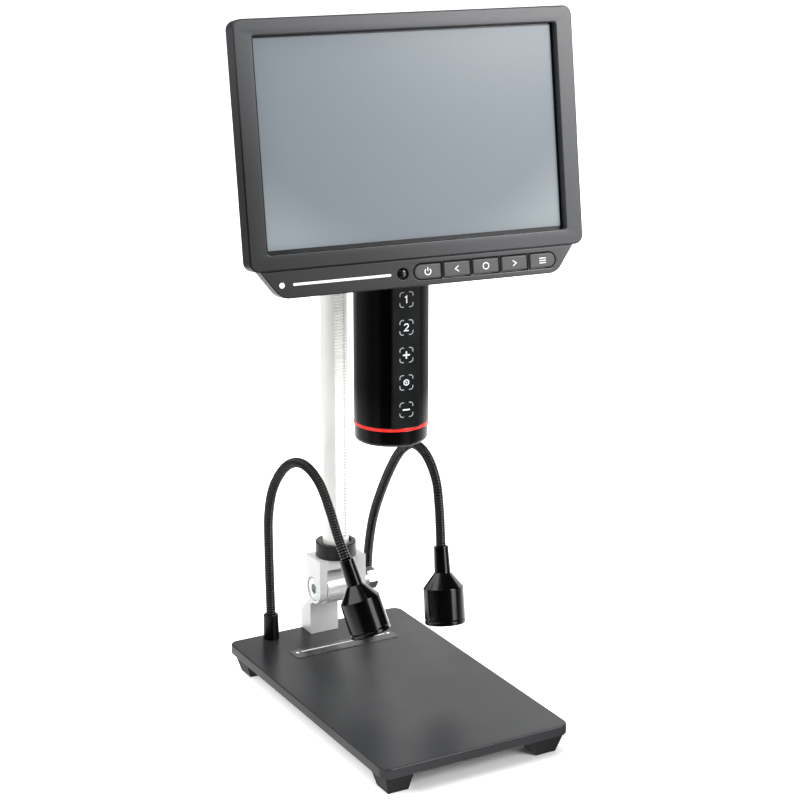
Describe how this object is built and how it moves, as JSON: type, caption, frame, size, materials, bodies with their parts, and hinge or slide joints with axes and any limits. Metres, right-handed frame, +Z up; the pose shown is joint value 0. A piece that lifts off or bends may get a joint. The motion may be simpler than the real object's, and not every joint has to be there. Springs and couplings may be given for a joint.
{
  "type": "digital microscope",
  "caption": "Digital inspection microscope: a tilting screen on a camera tube, carried by a rack column over a flat base with gooseneck lamps.",
  "frame": {"origin": "on the floor, under the middle of the base plate and on the optical axis of the camera tube", "axes": "+Z up along the column; -Y towards the user, who faces the screen; +X to the user's right"},
  "size_m": [0.1966, 0.2, 0.4096],
  "materials": {
    "plate": "satin",
    "feet": "matte",
    "steel": "satin",
    "label": "satin",
    "nickel": "semi-gloss",
    "black_plastic": "matte",
    "circuit": "gloss",
    "zinc": "gloss",
    "black_anodised": "satin",
    "rod": "gloss",
    "rack": "satin",
    "gooseneck": "satin",
    "knob": "matte",
    "tube": "gloss",
    "key_panel": "satin",
    "accent": "gloss",
    "optic": "clear",
    "housing": "satin",
    "display": "gloss",
    "back": "matte",
    "key": "satin",
    "lamp": "gloss",
    "led_board": "matte"
  },
  "bodies": {
    "base": {"base_plate": "plate", "feet": "feet", "base_screws": "steel", "label_plate": "label", "hinge_post": "nickel", "left_boot": "black_plastic", "right_boot": "black_plastic", "boot_nuts": "steel", "driver_case": "black_plastic", "driver_board": "circuit", "lamp_inlet": "black_plastic"},
    "column": {"clevis_block": "nickel", "pivot_bolt": "zinc", "pivot_washer": "zinc", "pivot_nut": "zinc", "column_screw": "steel", "collar": "black_anodised", "column_rod": "rod", "column_rack": "rack"},
    "left_arm": {"left_gooseneck": "gooseneck"},
    "right_arm": {"right_gooseneck": "gooseneck"},
    "left_lamp": {"left_lamp_body": "lamp", "left_lamp_bezel": "lamp", "left_lamp_lens": "optic", "left_led_board": "led_board"},
    "right_lamp": {"right_lamp_body": "lamp", "right_lamp_bezel": "lamp", "right_lamp_lens": "optic", "right_led_board": "led_board"},
    "carriage": {"carriage": "black_anodised", "barrel_clamp": "black_anodised"},
    "focus": {"pinion_shaft": "steel", "left_focus_knob": "knob", "right_focus_knob": "knob"},
    "clamp_screw": {"clamp_knob": "knob"},
    "lock_screw": {"lock_knob": "knob"},
    "head": {"barrel": "tube", "key_panel": "key_panel", "accent_ring": "accent", "nose_ring": "tube", "lens_cell": "black_anodised", "objective_lens": "optic", "sensor_board": "circuit", "bracket_screw": "steel", "tilt_bracket": "black_anodised", "tilt_pin": "steel"},
    "screen": {"front_bezel": "housing", "control_bar": "housing", "key_board": "circuit", "lcd_panel": "display", "back_cover": "back", "main_board": "circuit", "port_sockets": "steel", "tilt_lug": "black_anodised", "back_screws": "steel"},
    "power_button": {"power_key": "key"},
    "left_button": {"left_key": "key"},
    "ok_button": {"ok_key": "key"},
    "right_button": {"right_key": "key"},
    "menu_button": {"menu_key": "key"}
  },
  "joints": [
    {"name": "column_tilt", "type": "hinge", "parent": "base", "child": "column", "pos_m": [0, 0.0716, 0.054], "axis": [1, 0, 0], "range_deg": [-30, 30]},
    {"name": "carriage_slide", "type": "slide", "parent": "column", "child": "carriage", "axis": [0, 0, 1], "range_m": [-0.06, 0.015]},
    {"name": "focus_turn", "type": "hinge", "parent": "carriage", "child": "focus", "pos_m": [0, 0.0576, 0.286], "axis": [1, 0, 0], "range_deg": [-165, 642]},
    {"name": "head_turn", "type": "hinge", "parent": "carriage", "child": "head", "pos_m": [0, 0, 0.274], "axis": [0, 0, 1], "range_deg": [-55, 55]},
    {"name": "screen_tilt", "type": "hinge", "parent": "head", "child": "screen", "pos_m": [-0.00123, -0.01194, 0.324], "axis": [0.9947, -0.1028, 0], "range_deg": [-20, 6]},
    {"name": "left_arm_swing", "type": "hinge", "parent": "base", "child": "left_arm", "pos_m": [-0.0337, 0.0932, 0.0335], "axis": [0, 0, 1], "range_deg": [-40, 5]},
    {"name": "right_arm_swing", "type": "hinge", "parent": "base", "child": "right_arm", "pos_m": [0.0337, 0.0932, 0.0335], "axis": [0, 0, -1], "range_deg": [-40, 5]},
    {"name": "left_lamp_aim", "type": "hinge", "parent": "left_arm", "child": "left_lamp", "pos_m": [-0.0202, 0.0184, 0.0932], "axis": [0.9819, 0, 0.1893], "range_deg": [-20, 20]},
    {"name": "right_lamp_aim", "type": "hinge", "parent": "right_arm", "child": "right_lamp", "pos_m": [0.0337, 0.0007, 0.0977], "axis": [0.9986, 0, -0.0537], "range_deg": [-20, 20]},
    {"name": "clamp_knob_turn", "type": "hinge", "parent": "carriage", "child": "clamp_screw", "pos_m": [0.02121, 0.02121, 0.274], "axis": [0.7071, 0.7071, 0], "range_deg": [-180, 180]},
    {"name": "lock_knob_turn", "type": "hinge", "parent": "carriage", "child": "lock_screw", "pos_m": [0, 0.09, 0.286], "axis": [0, 1, 0], "range_deg": [-180, 180]},
    {"name": "power_press", "type": "slide", "parent": "screen", "child": "power_button", "axis": [0.1014, 0.9813, -0.1633], "range_m": [0, 0.0008], "stiffness_N_per_m": 500},
    {"name": "left_press", "type": "slide", "parent": "screen", "child": "left_button", "axis": [0.1014, 0.9813, -0.1633], "range_m": [0, 0.0008], "stiffness_N_per_m": 500},
    {"name": "ok_press", "type": "slide", "parent": "screen", "child": "ok_button", "axis": [0.1014, 0.9813, -0.1633], "range_m": [0, 0.0008], "stiffness_N_per_m": 500},
    {"name": "right_press", "type": "slide", "parent": "screen", "child": "right_button", "axis": [0.1014, 0.9813, -0.1633], "range_m": [0, 0.0008], "stiffness_N_per_m": 500},
    {"name": "menu_press", "type": "slide", "parent": "screen", "child": "menu_button", "axis": [0.1014, 0.9813, -0.1633], "range_m": [0, 0.0008], "stiffness_N_per_m": 500}
  ],
  "couplings": [
    {"joint": "focus_turn", "follows": "carriage_slide", "rad_per_m": -185.19}
  ]
}
